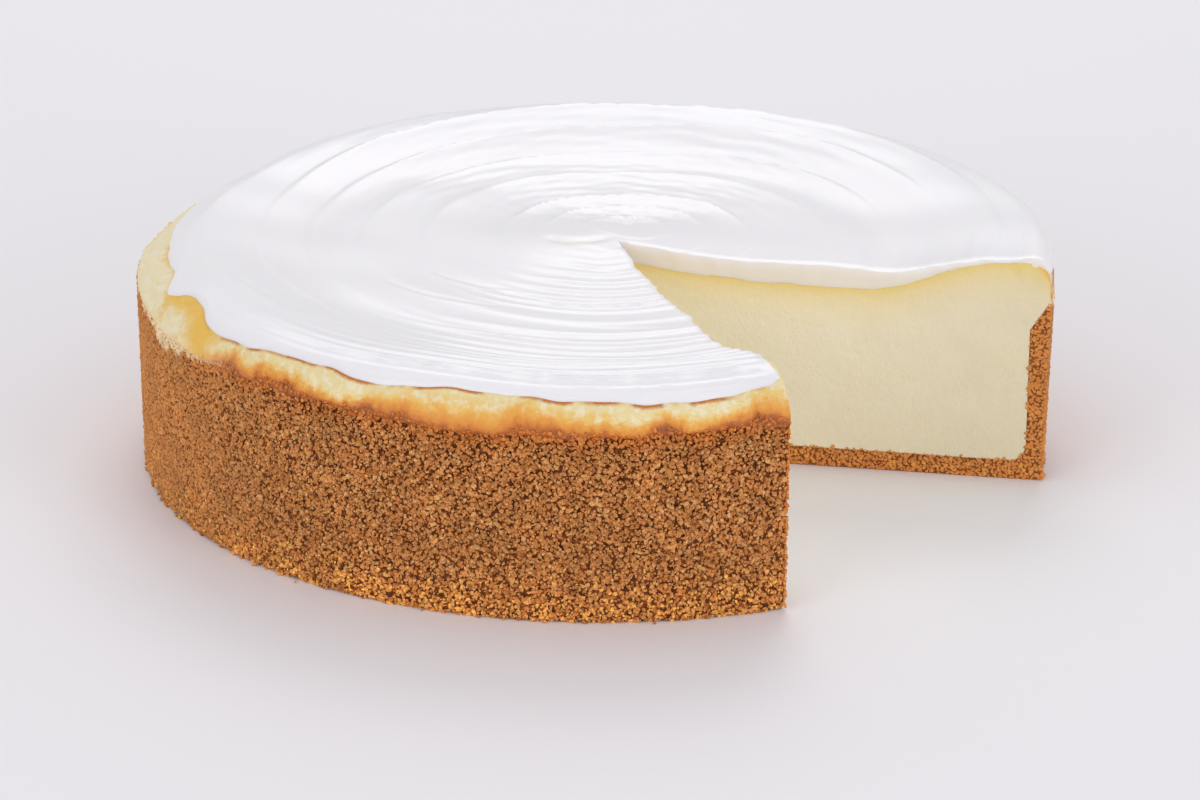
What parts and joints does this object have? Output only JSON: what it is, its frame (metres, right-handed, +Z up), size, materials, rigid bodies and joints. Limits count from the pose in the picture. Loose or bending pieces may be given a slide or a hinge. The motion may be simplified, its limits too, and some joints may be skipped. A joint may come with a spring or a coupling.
{
  "type": "baked cheesecake",
  "caption": "Round baked cheesecake with a crumb crust, a golden risen rim and a white cream topping spread in rings, with a wedge cut out.",
  "frame": {"origin": "middle of the cake's flat base, on the surface it stands on", "axes": "+Z up along the cake's axis; -Y towards the side seen from the front; the missing wedge opens between -68 and -9 degrees from +X, measured at its point near the axis"},
  "size_m": [0.254, 0.254, 0.066],
  "materials": {
    "crumb_crust": "coarse baked biscuit crumbs pressed together, dry and matte",
    "baked_filling": "smooth dense pale yellow custard, golden brown where its rim turned over the crust",
    "cream_topping": "soft white sour cream with a satin sheen"
  },
  "bodies": {
    "root": {"crumb_crust": "crumb_crust", "baked_filling": "baked_filling", "cream_topping": "cream_topping"}
  },
  "joints": []
}
